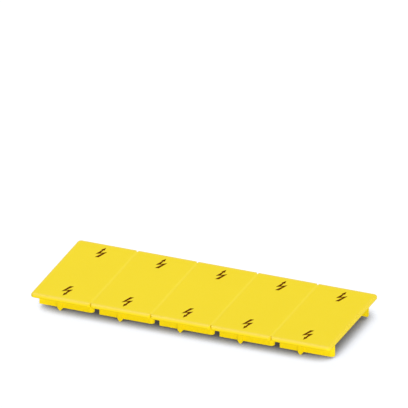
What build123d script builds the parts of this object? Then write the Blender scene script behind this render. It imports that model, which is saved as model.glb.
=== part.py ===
"""Warning sign strip that snaps on top of a row of rail-mounted terminal blocks.

One injection moulding in yellow plastic, with one section for each terminal
block underneath. Break grooves let it be snapped off to a shorter row. Short
skirt walls under both long sides hold it, and each has a tapered peg. The
strip looks the same after half a turn about the vertical.

Frame: X along the strip, Y across it, Z up. The origin is under the middle of
the strip, on the plane of the peg tips, where it rests on a table.
Millimetres.
"""

import os

from build123d import *

# Strip of equal sections, each as wide as one terminal block, a little short
# at both ends so that it clears the next strip
section_count = 5
section_pitch = 12.2
end_clearance = 0.1
strip_depth = 24.5
plate_thickness = 0.75
corner_radius = 0.8
edge_round = 0.42
lower_edge_break = 0.12

# Break grooves between the sections, with a nick in the edge at each end
groove_width = 0.9
groove_depth = 0.03
nick_width = 0.8
nick_depth = 0.8

# Skirt walls, set in from the long edges and from the ends of their section
skirt_drop = 2.65
skirt_wall = 0.6
skirt_inset = 2.95
plain_end_setback = 0.82
curled_end_setback = 0.43
curl_inner_radius = 0.15
skirt_edge_break = 0.12

# Pegs, each a rib on the outside of its skirt that tapers to a blunt tip
peg_offset = 1.0
peg_width = 1.05
peg_tip_width = 0.3
peg_tip_round = 0.1
peg_reach = 0.5
peg_stand_out = 0.25

# Levels and lengths that follow from the sizes above
underside_z = peg_reach + skirt_drop
top_z = underside_z + plate_thickness
strip_length = section_count * section_pitch - 2 * end_clearance
groove_count = section_count - 1
skirt_face_y = strip_depth / 2 - skirt_inset

# Skirt wall in plan, straight along the strip and curled inwards at one end
curl_radius = curl_inner_radius + skirt_wall / 2
wall_line_y = skirt_wall / 2 - skirt_face_y
plain_end_x = plain_end_setback - section_pitch / 2
curl_start_x = section_pitch / 2 - curled_end_setback - skirt_wall / 2 - curl_radius

with BuildPart() as skirt:
    with BuildSketch(Plane.XY.offset(peg_reach)):
        with BuildLine():
            straight = Line((plain_end_x, wall_line_y), (curl_start_x, wall_line_y))
            JernArc(straight @ 1, straight % 1, curl_radius, 90)
        trace(line_width=skirt_wall)
    extrude(amount=skirt_drop)
    fillet(skirt.faces().sort_by(Axis.Z)[0].edges(), skirt_edge_break)

    # Peg, drawn as seen from the front and run back to the inside of the wall
    with BuildSketch(Plane.XZ.offset(skirt_face_y - skirt_wall)) as peg_outline:
        with Locations((-peg_offset, 0)):
            Polygon(
                (-peg_width / 2, underside_z),
                (-peg_width / 2, peg_reach),
                (-peg_tip_width / 2, 0),
                (peg_tip_width / 2, 0),
                (peg_width / 2, peg_reach),
                (peg_width / 2, underside_z),
                align=None,
            )
        fillet(peg_outline.vertices().group_by(Axis.Y)[0], peg_tip_round)
    extrude(amount=skirt_wall + peg_stand_out)

with BuildPart() as warning_strip:
    # Flat plate with its upper edges rounded over and its lower edges broken
    with BuildSketch(Plane.XY.offset(underside_z)):
        RectangleRounded(strip_length, strip_depth, corner_radius)
    extrude(amount=plate_thickness)
    fillet(warning_strip.faces().sort_by(Axis.Z)[-1].edges(), edge_round)
    fillet(warning_strip.faces().sort_by(Axis.Z)[0].edges(), lower_edge_break)

    # Break grooves across the top, wide and shallow
    with BuildSketch(Plane.XZ):
        with Locations((0, top_z)):
            with GridLocations(section_pitch, 0, groove_count, 1):
                Polygon(
                    (-groove_width / 2, 0),
                    (0, -groove_depth),
                    (groove_width / 2, 0),
                    align=None,
                )
    extrude(amount=strip_depth / 2, both=True, mode=Mode.SUBTRACT)

    # V-shaped nicks through both long edges, in line with the grooves
    with BuildSketch(Plane.XY.offset(underside_z)):
        with PolarLocations(0, 2):
            with Locations((0, strip_depth / 2)):
                with GridLocations(section_pitch, 0, groove_count, 1):
                    Polygon(
                        (-nick_width / 2, 0),
                        (0, -nick_depth),
                        (nick_width / 2, 0),
                        align=None,
                    )
    extrude(amount=plate_thickness, mode=Mode.SUBTRACT)

    # A skirt under each section on the front side, and the same turned round
    with PolarLocations(0, 2):
        with GridLocations(section_pitch, 0, section_count, 1):
            add(skirt.part)

warning_strip.part.label = "warning_strip"

os.makedirs("parts", exist_ok=True)
export_step(warning_strip.part, "parts/warning_strip.step")
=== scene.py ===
"""Looks of a yellow warning sign strip with printed lightning flashes.

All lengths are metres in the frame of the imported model: X along the strip, Y
across it, Z up. The strip stands with its peg tips on the plane Z = 0.
"""

import math

import bpy
from mathutils import Matrix, Vector


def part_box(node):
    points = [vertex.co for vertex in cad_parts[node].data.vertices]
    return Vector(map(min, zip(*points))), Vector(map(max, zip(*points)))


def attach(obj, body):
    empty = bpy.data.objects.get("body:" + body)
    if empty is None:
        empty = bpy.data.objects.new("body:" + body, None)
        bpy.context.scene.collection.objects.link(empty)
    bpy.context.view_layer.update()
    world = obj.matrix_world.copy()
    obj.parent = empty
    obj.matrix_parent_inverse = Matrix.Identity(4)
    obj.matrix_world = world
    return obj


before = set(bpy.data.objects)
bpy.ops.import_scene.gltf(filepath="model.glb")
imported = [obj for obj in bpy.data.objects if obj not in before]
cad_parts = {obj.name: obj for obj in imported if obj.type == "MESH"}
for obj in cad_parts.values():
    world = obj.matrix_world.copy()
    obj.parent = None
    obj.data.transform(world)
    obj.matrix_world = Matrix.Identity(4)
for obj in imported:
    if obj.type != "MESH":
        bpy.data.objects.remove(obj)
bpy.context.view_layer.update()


# The strip: one injection moulding in signal yellow plastic, with its plate,
# break grooves, skirts and pegs out of one mould. Its faces keep the fine
# spark-eroded grain of the mould, and the melt's flow leaves them faintly uneven.

MM = 0.001
SECTION_PITCH = 12.2 * MM
PLATE_THICKNESS = 0.75 * MM

# The plastic as it comes from the mould, with its tint, grain and faint gloss
YELLOW = (0.920, 0.718, 0.003)
YELLOW_DEEP = (0.900, 0.694, 0.002)
FLOW_PATCH = 9 * MM
FLOW_DETAIL = 3.0
GRAIN_PATCH = 0.11 * MM
GRAIN_DEPTH = 0.004 * MM
GRAIN_DETAIL = 2.0
GRAIN_HARSHNESS = 0.6
GRAIN_LOW = 0.3
GRAIN_HIGH = 0.7
PLASTIC_SMOOTHEST = 0.40
PLASTIC_ROUGHEST = 0.50
PLASTIC_GLOSS = 0.15

# A painted highlight on the plate's rounded rim: a little paler, and less so at the two
# ends
RIM_PAINTED_HIGHLIGHT = (0.900, 0.690, 0.085)
RIM_WIDTH = 1.1 * MM
END_RIM_WIDTH = 0.9 * MM
END_RIM_SHARE = 0.45
RIM_HEIGHT = 0.5 * MM

# Painted light on the break grooves, a little lighter yellow
GROOVE_PAINTED_LIGHT = (1.000, 0.830, 0.085)
GROOVE_REACH = 0.5 * MM
GROOVE_SHARE = 0.25

# Painted shade on the upright faces of the plate's edge: a little deeper, but not inside
# the nicks
EDGE_FACE_PAINTED_SHADE = (0.760, 0.550, 0.002)
EDGE_FACE_HEIGHT = 0.5 * PLATE_THICKNESS
EDGE_FACE_BLUR = 0.1 * PLATE_THICKNESS
EDGE_FACE_REACH = 0.1 * MM


def new_material(name):
    """An empty node material with its output and a Principled shader joined up."""
    material = bpy.data.materials.new(name)
    material.use_nodes = True
    tree = material.node_tree
    tree.nodes.clear()
    output = tree.nodes.new("ShaderNodeOutputMaterial")
    shader = tree.nodes.new("ShaderNodeBsdfPrincipled")
    tree.links.new(shader.outputs["BSDF"], output.inputs["Surface"])
    return material, tree, shader


def mould_grain_group():
    """Grain of a spark-eroded mould: a height for the bump, and how rough the face is."""
    group = bpy.data.node_groups.new("mould_grain", "ShaderNodeTree")
    socket = group.interface.new_socket
    socket("Patch", in_out="INPUT", socket_type="NodeSocketFloat")
    socket("Smoothest", in_out="INPUT", socket_type="NodeSocketFloat")
    socket("Roughest", in_out="INPUT", socket_type="NodeSocketFloat")
    socket("Height", in_out="OUTPUT", socket_type="NodeSocketFloat")
    socket("Roughness", in_out="OUTPUT", socket_type="NodeSocketFloat")
    nodes, links = group.nodes, group.links
    given = nodes.new("NodeGroupInput")
    result = nodes.new("NodeGroupOutput")
    place = nodes.new("ShaderNodeTexCoord")

    per_metre = nodes.new("ShaderNodeMath")
    per_metre.operation = "DIVIDE"
    per_metre.inputs[0].default_value = 1.0
    links.new(given.outputs["Patch"], per_metre.inputs[1])

    pits = nodes.new("ShaderNodeTexNoise")
    pits.inputs["Detail"].default_value = GRAIN_DETAIL
    pits.inputs["Roughness"].default_value = GRAIN_HARSHNESS
    links.new(place.outputs["Object"], pits.inputs["Vector"])
    links.new(per_metre.outputs[0], pits.inputs["Scale"])
    links.new(pits.outputs["Fac"], result.inputs["Height"])

    spread = nodes.new("ShaderNodeMapRange")
    spread.inputs["From Min"].default_value = GRAIN_LOW
    spread.inputs["From Max"].default_value = GRAIN_HIGH
    links.new(pits.outputs["Fac"], spread.inputs["Value"])
    links.new(given.outputs["Smoothest"], spread.inputs["To Min"])
    links.new(given.outputs["Roughest"], spread.inputs["To Max"])
    links.new(spread.outputs["Result"], result.inputs["Roughness"])
    return group


mould_grain = mould_grain_group()


def add_grain(tree, shader, depth, smoothest, roughest):
    """Puts the mould's grain on a material, with this depth and roughness."""
    grain = tree.nodes.new("ShaderNodeGroup")
    grain.node_tree = mould_grain
    grain.inputs["Patch"].default_value = GRAIN_PATCH
    grain.inputs["Smoothest"].default_value = smoothest
    grain.inputs["Roughest"].default_value = roughest
    bump = tree.nodes.new("ShaderNodeBump")
    bump.inputs["Strength"].default_value = 1.0
    bump.inputs["Distance"].default_value = depth
    tree.links.new(grain.outputs["Height"], bump.inputs["Height"])
    tree.links.new(bump.outputs["Normal"], shader.inputs["Normal"])
    tree.links.new(grain.outputs["Roughness"], shader.inputs["Roughness"])


def patches(tree, size, detail):
    """Soft noise over the piece, in patches of this size."""
    place = tree.nodes.new("ShaderNodeTexCoord")
    noise = tree.nodes.new("ShaderNodeTexNoise")
    noise.inputs["Scale"].default_value = 1 / size
    noise.inputs["Detail"].default_value = detail
    tree.links.new(place.outputs["Object"], noise.inputs["Vector"])
    return noise.outputs["Fac"]


def maths(tree, operation, *operands):
    """A Math node; each operand is a socket or a number."""
    node = tree.nodes.new("ShaderNodeMath")
    node.operation = operation
    for socket, operand in zip(node.inputs, operands):
        if isinstance(operand, (int, float)):
            socket.default_value = operand
        else:
            tree.links.new(operand, socket)
    return node.outputs[0]


def fade(tree, value, start, end, to_start, to_end):
    """A soft step from one value to another as a coordinate goes from start to end."""
    node = tree.nodes.new("ShaderNodeMapRange")
    node.interpolation_type = "SMOOTHSTEP"
    node.inputs["From Min"].default_value = start
    node.inputs["From Max"].default_value = end
    node.inputs["To Min"].default_value = to_start
    node.inputs["To Max"].default_value = to_end
    tree.links.new(value, node.inputs["Value"])
    return node.outputs["Result"]


def blend_colours(tree, share, first, second):
    """A colour between two; each is a socket or three numbers."""
    node = tree.nodes.new("ShaderNodeMix")
    node.data_type = "RGBA"
    for socket, colour in ((node.inputs["A"], first), (node.inputs["B"], second)):
        if isinstance(colour, tuple):
            socket.default_value = (*colour, 1)
        else:
            tree.links.new(colour, socket)
    tree.links.new(share, node.inputs["Factor"])
    return node.outputs["Result"]


def rim_highlight_share(tree, high, x_off, y_off, z):
    """How much a point gets the rim's painted highlight; high is the strip's top corner.
    """
    long_sides = fade(tree, y_off, high.y - RIM_WIDTH, high.y, 0, 1)
    ends = fade(tree, x_off, high.x - END_RIM_WIDTH, high.x, 0, END_RIM_SHARE)
    near_top = fade(tree, z, high.z - RIM_HEIGHT, high.z, 0, 1)
    return maths(tree, "MULTIPLY", maths(tree, "MAXIMUM", long_sides, ends), near_top)


def edge_face_shade_share(tree, high, x_off, y_off, z):
    """How much a point gets the painted shade on the upright faces of the plate's edge."""
    underside = high.z - PLATE_THICKNESS
    from_below = fade(tree, z, underside - EDGE_FACE_BLUR, underside, 0, 1)
    to_rim = fade(tree, z, underside, underside + EDGE_FACE_HEIGHT, 1, 0)
    long_sides = fade(tree, y_off, high.y - EDGE_FACE_REACH, high.y, 0, 1)
    ends = fade(tree, x_off, high.x - EDGE_FACE_REACH, high.x, 0, 1)
    band = maths(tree, "MULTIPLY", to_rim, from_below)
    return maths(tree, "MULTIPLY", band, maths(tree, "MAXIMUM", long_sides, ends))


def groove_light_share(tree, x):
    """How much painted light a point gets on a break groove, where two sections meet."""
    sections_along = maths(tree, "MULTIPLY_ADD", x, 1 / SECTION_PITCH, 0.5)
    off_groove = maths(tree, "PINGPONG", sections_along, 0.5)
    return fade(tree, off_groove, 0, GROOVE_REACH / SECTION_PITCH, GROOVE_SHARE, 0)


def make_yellow_plastic(high):
    """The strip's plastic; high is the strip's top corner."""
    material, tree, shader = new_material("yellow_plastic")
    shader.inputs["Specular IOR Level"].default_value = PLASTIC_GLOSS
    add_grain(tree, shader, GRAIN_DEPTH, PLASTIC_SMOOTHEST, PLASTIC_ROUGHEST)

    place = tree.nodes.new("ShaderNodeTexCoord")
    spot = tree.nodes.new("ShaderNodeSeparateXYZ")
    tree.links.new(place.outputs["Object"], spot.inputs[0])
    x, z = spot.outputs["X"], spot.outputs["Z"]
    x_off = maths(tree, "ABSOLUTE", x)
    y_off = maths(tree, "ABSOLUTE", spot.outputs["Y"])

    flow = patches(tree, FLOW_PATCH, FLOW_DETAIL)
    colour = blend_colours(tree, flow, YELLOW, YELLOW_DEEP)
    # Painted light on the break grooves
    colour = blend_colours(tree, groove_light_share(tree, x), colour, GROOVE_PAINTED_LIGHT)
    # A painted highlight along the plate's rounded rim
    colour = blend_colours(tree, rim_highlight_share(tree, high, x_off, y_off, z), colour, RIM_PAINTED_HIGHLIGHT)
    # Painted shade on the upright faces of the plate's edge
    painted_edge_shade = edge_face_shade_share(tree, high, x_off, y_off, z)
    colour = blend_colours(tree, painted_edge_shade, colour, EDGE_FACE_PAINTED_SHADE)
    tree.links.new(colour, shader.inputs["Base Color"])
    return material


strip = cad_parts["warning_strip"]
strip_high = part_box("warning_strip")[1]
strip.data.materials.clear()
strip.data.materials.append(make_yellow_plastic(strip_high))


# The lightning flashes: two on each section, pad printed in brown-black ink on
# the flat top after moulding. The back row reads from the other side, so it is
# the front row turned by half a turn. The ink is a film a few microns thick.

# The whole print sits a touch to the right of the strip's middle
SECTIONS = 5
FLASH_FROM_MIDDLE = 8.375 * MM
PRINT_RIGHT = 0.08 * MM

INK_PROUD = 0.012 * MM
INK_SUNK = 0.010 * MM
INK = (0.110, 0.024, 0.002)
INK_THIN = (0.160, 0.042, 0.002)
INK_PATCH = 0.35 * MM
INK_DETAIL = 2.0
INK_SMOOTHEST = 0.50
INK_ROUGHEST = 0.60
INK_GLOSS = 0.0
INK_GRAIN_DEPTH = 0.5 * GRAIN_DEPTH

# The bolt in millimetres, as it is seen in the front row: from its blunt upper
# end down the left side to the arrow head, and back up the right side
BOLT = [
    (-0.20, 1.78),
    (-0.93, -0.78),
    (0.11, -0.02),
    (0.01, -1.24),
    (-0.21, -1.20),
    (-0.06, -2.36),
    (0.52, -1.34),
    (0.29, -1.30),
    (0.85, 0.67),
    (-0.29, 0.04),
    (0.50, 1.93),
]


def make_flash_print():
    """The ink, a little thinner in places."""
    material, tree, shader = new_material("flash_print")
    shader.inputs["Specular IOR Level"].default_value = INK_GLOSS
    add_grain(tree, shader, INK_GRAIN_DEPTH, INK_SMOOTHEST, INK_ROUGHEST)
    cover = patches(tree, INK_PATCH, INK_DETAIL)
    tree.links.new(blend_colours(tree, cover, INK, INK_THIN), shader.inputs["Base Color"])
    return material


flash_print = make_flash_print()


def print_flash(name, x, y, turned):
    """One printed bolt, a closed film let into the top face and just proud of it."""
    way = -1 if turned else 1
    outline = [(x + way * bolt_x * MM, y + way * bolt_y * MM) for bolt_x, bolt_y in BOLT]
    count = len(outline)
    under = [(px, py, strip_high.z - INK_SUNK) for px, py in outline]
    over = [(px, py, strip_high.z + INK_PROUD) for px, py in outline]
    faces = [tuple(reversed(range(count))), tuple(range(count, 2 * count))]
    for i in range(count):
        j = (i + 1) % count
        faces.append((i, j, count + j, count + i))
    mesh = bpy.data.meshes.new(name)
    mesh.from_pydata(under + over, [], faces)
    mesh.materials.append(flash_print)
    flash = bpy.data.objects.new(name, mesh)
    bpy.context.scene.collection.objects.link(flash)
    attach(flash, "root")


for number in range(SECTIONS):
    x = PRINT_RIGHT + (number - (SECTIONS - 1) / 2) * SECTION_PITCH
    print_flash(f"flash_front_{number + 1}", x, -FLASH_FROM_MIDDLE, False)
    print_flash(f"flash_back_{number + 1}", x, FLASH_FROM_MIDDLE, True)


# The table: a white sheet under the strip. The camera sees it burnt out to
# white, as on a light table, and grey only in the soft shade close to the strip.

FLOOR_SIZE = 2.0
FLOOR_WHITE = (0.80, 0.80, 0.80)
FLOOR_SEEN = (1.17, 1.17, 1.17)

# The shade, drawn for the camera from how open the floor is to the sky, and
# mostly to the sky in front
SHADE_REACH = 40 * MM
SHADE_SAMPLES = 16
SHADE_FACES = (0.0, -0.38, 0.92)
SKY_SHUT = 0.21
SKY_OPEN = 0.69
SHADE_DEEPEST = 0.05
SHADE_NONE = 1.04
SHADE_TINT = (0.985, 1.008, 1.065)
SHADE_SHARE = 0.88


def sky_openness(tree):
    """How open a point of the floor is to the sky, from 0 to 1."""
    facing = tree.nodes.new("ShaderNodeCombineXYZ")
    for socket, part in zip(facing.inputs, SHADE_FACES):
        socket.default_value = part
    openness = tree.nodes.new("ShaderNodeAmbientOcclusion")
    openness.samples = SHADE_SAMPLES
    openness.inputs["Distance"].default_value = SHADE_REACH
    tree.links.new(facing.outputs["Vector"], openness.inputs["Normal"])
    return openness.outputs["AO"]


def make_floor_white():
    """White paper that is lit by the lamps, and shaded softly for the camera alone."""
    material, tree, shader = new_material("floor_white")
    tree.nodes.remove(shader)
    seen = tree.nodes.new("ShaderNodeLightPath").outputs["Is Camera Ray"]

    paper = tree.nodes.new("ShaderNodeBsdfDiffuse")
    white = blend_colours(tree, seen, FLOOR_WHITE, FLOOR_SEEN)
    tree.links.new(white, paper.inputs["Color"])

    shaded = tree.nodes.new("ShaderNodeEmission")
    shaded.inputs["Color"].default_value = (*SHADE_TINT, 1)
    level = fade(tree, sky_openness(tree), SKY_SHUT, SKY_OPEN, SHADE_DEEPEST, SHADE_NONE)
    tree.links.new(level, shaded.inputs["Strength"])

    both = tree.nodes.new("ShaderNodeMixShader")
    tree.links.new(maths(tree, "MULTIPLY", seen, SHADE_SHARE), both.inputs[0])
    tree.links.new(paper.outputs["BSDF"], both.inputs[1])
    tree.links.new(shaded.outputs["Emission"], both.inputs[2])
    tree.links.new(both.outputs["Shader"], tree.nodes["Material Output"].inputs["Surface"])
    return material


half = FLOOR_SIZE / 2
floor_corners = [(-half, -half, 0), (half, -half, 0), (half, half, 0), (-half, half, 0)]
floor_mesh = bpy.data.meshes.new("floor")
floor_mesh.from_pydata(floor_corners, [], [(0, 1, 2, 3)])
floor_mesh.materials.append(make_floor_white())
floor = bpy.data.objects.new("floor", floor_mesh)
bpy.context.scene.collection.objects.link(floor)


# The light: a small product studio with white walls. One white panel hangs high
# behind the strip on the left, and one stands low in front of it on the right,
# so that the skirts under the long edge are as bright as the top.

ROOM_LIGHT = 0.54
ROOM_SEEN = 1.0
PANEL_AWAY = 1.5
PANEL_WIDTH = 0.80

# Name, degrees round from the front to the right, degrees up, watts
PANELS = [
    ("high_panel", 225, 55, 10.7),
    ("low_panel", 38, 8, 17.6),
]


def direction(azimuth, elevation):
    """The unit vector to a place so far round from the front, and so far up."""
    return Vector(
        (
            math.sin(azimuth) * math.cos(elevation),
            -math.cos(azimuth) * math.cos(elevation),
            math.sin(elevation),
        )
    )


for name, degrees_round, degrees_up, watts in PANELS:
    towards = direction(math.radians(degrees_round), math.radians(degrees_up))
    lamp = bpy.data.lights.new(name, "AREA")
    lamp.shape = "DISK"
    lamp.size = PANEL_WIDTH
    lamp.energy = watts
    panel = bpy.data.objects.new(name, lamp)
    panel.location = towards * PANEL_AWAY
    panel.rotation_mode = "QUATERNION"
    panel.rotation_quaternion = towards.to_track_quat("Z", "Y")
    bpy.context.scene.collection.objects.link(panel)

world = bpy.data.worlds.new("white_room")
world.use_nodes = True
bpy.context.scene.world = world
nodes, links = world.node_tree.nodes, world.node_tree.links
walls = nodes["Background"]
walls.inputs["Color"].default_value = (1, 1, 1, 1)
ray = nodes.new("ShaderNodeLightPath")
level = nodes.new("ShaderNodeMix")
level.inputs["A"].default_value = ROOM_LIGHT
level.inputs["B"].default_value = ROOM_SEEN
links.new(ray.outputs["Is Camera Ray"], level.inputs["Factor"])
links.new(level.outputs["Result"], walls.inputs["Strength"])


# The camera: a long lens, so its view has no perspective. It looks from the
# front right and from above, and the strip lies low in the frame.

AZIMUTH = math.radians(22.14)
ELEVATION = math.radians(26.83)
FRAME_WIDTH = 76.72 * MM
MIDDLE_LEFT = -0.028 * MM
MIDDLE_UP = 16.870 * MM
CAMERA_AWAY = 0.60
CLIP_NEAR = 0.01
CLIP_FAR = 10

right = Vector((math.cos(AZIMUTH), math.sin(AZIMUTH), 0))
back = direction(AZIMUTH, ELEVATION)
up = back.cross(right)

lens = bpy.data.cameras.new("camera")
lens.type = "ORTHO"
lens.ortho_scale = FRAME_WIDTH
lens.clip_start = CLIP_NEAR
lens.clip_end = CLIP_FAR
camera = bpy.data.objects.new("camera", lens)
aim = Vector((0, 0, strip_high.z)) + right * MIDDLE_LEFT + up * MIDDLE_UP
turn = Matrix((right, up, back)).transposed().to_4x4()
camera.matrix_world = Matrix.Translation(aim + back * CAMERA_AWAY) @ turn
bpy.context.scene.collection.objects.link(camera)
bpy.context.scene.camera = camera

bpy.context.scene.view_settings.view_transform = "Standard"
